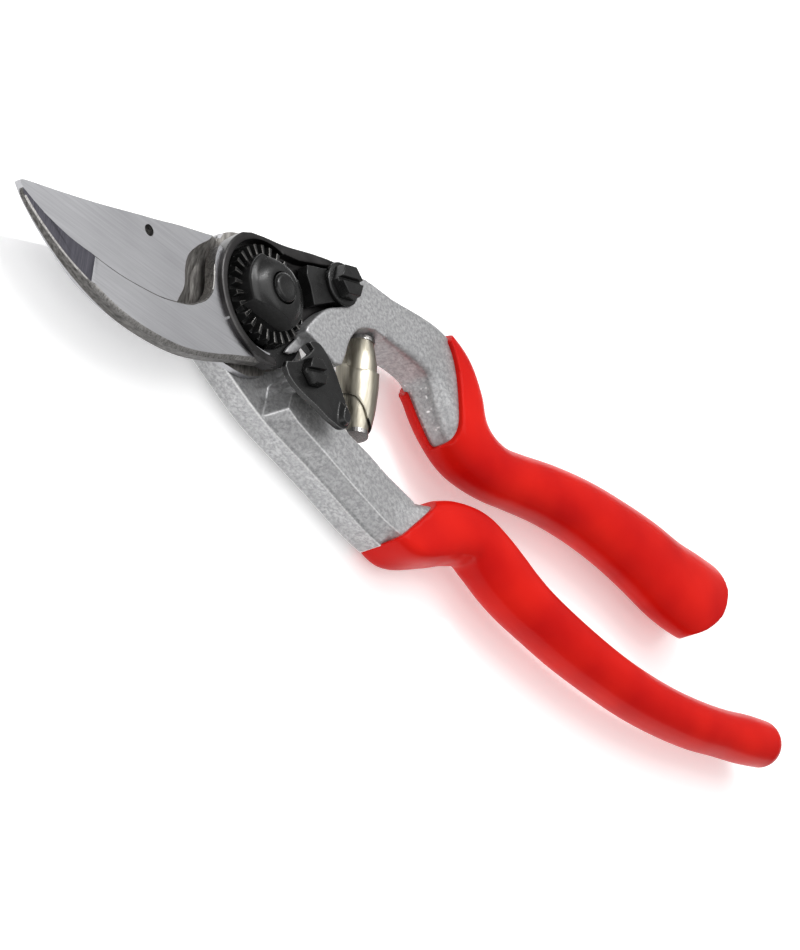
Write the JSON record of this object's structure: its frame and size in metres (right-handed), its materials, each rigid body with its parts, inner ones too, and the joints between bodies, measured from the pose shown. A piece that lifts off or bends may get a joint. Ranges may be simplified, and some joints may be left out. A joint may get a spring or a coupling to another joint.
{
  "type": "pruning shears",
  "caption": "Bypass pruning shears with dipped red handles, hooked counter blade, toothed adjusting nut, volute spring and thumb catch, closed.",
  "frame": {"origin": "centre of the flat back face of the pivot bolt's head", "axes": "+Z along the pivot towards the nut, +X towards the ends of the grips, +Y towards the short handle"},
  "size_m": [0.2701, 0.0577, 0.0212],
  "materials": {
    "aluminium": "satin, bead blasted",
    "steel": "brushed",
    "black_steel": "black burnished, semi-gloss",
    "spring_steel": "polished",
    "red_coating": "glossy dipped coating",
    "rubber": "matte"
  },
  "bodies": {
    "upper": {"upper_handle": "aluminium", "upper_grip": "red_coating", "counter_blade": "steel", "counter_blade_screw_1": "steel", "counter_blade_screw_2": "steel", "pivot_bolt": "black_steel", "toothed_nut": "black_steel", "toothed_segment": "black_steel", "segment_screw": "black_steel", "upper_spring_seat": "steel"},
    "lower": {"lower_handle": "aluminium", "lower_grip": "red_coating", "cutting_blade": "steel", "blade_screw": "black_steel", "blade_pin": "steel", "pivot_bush": "steel", "rubber_cushion": "rubber", "lower_spring_seat": "steel", "catch_screw": "black_steel", "catch_washer": "steel", "volute_spring": "spring_steel"},
    "catch": {"thumb_catch": "black_steel"}
  },
  "joints": [
    {"name": "main_pivot", "type": "hinge", "parent": "upper", "child": "lower", "pos_m": [0, 0, 0], "axis": [0, 0, -1], "range_deg": [0, 38], "deforming": ["volute_spring"]},
    {"name": "catch_pivot", "type": "hinge", "parent": "lower", "child": "catch", "pos_m": [0.014, -0.0126, 0], "axis": [0, 0, -1], "range_deg": [0, 11]}
  ]
}
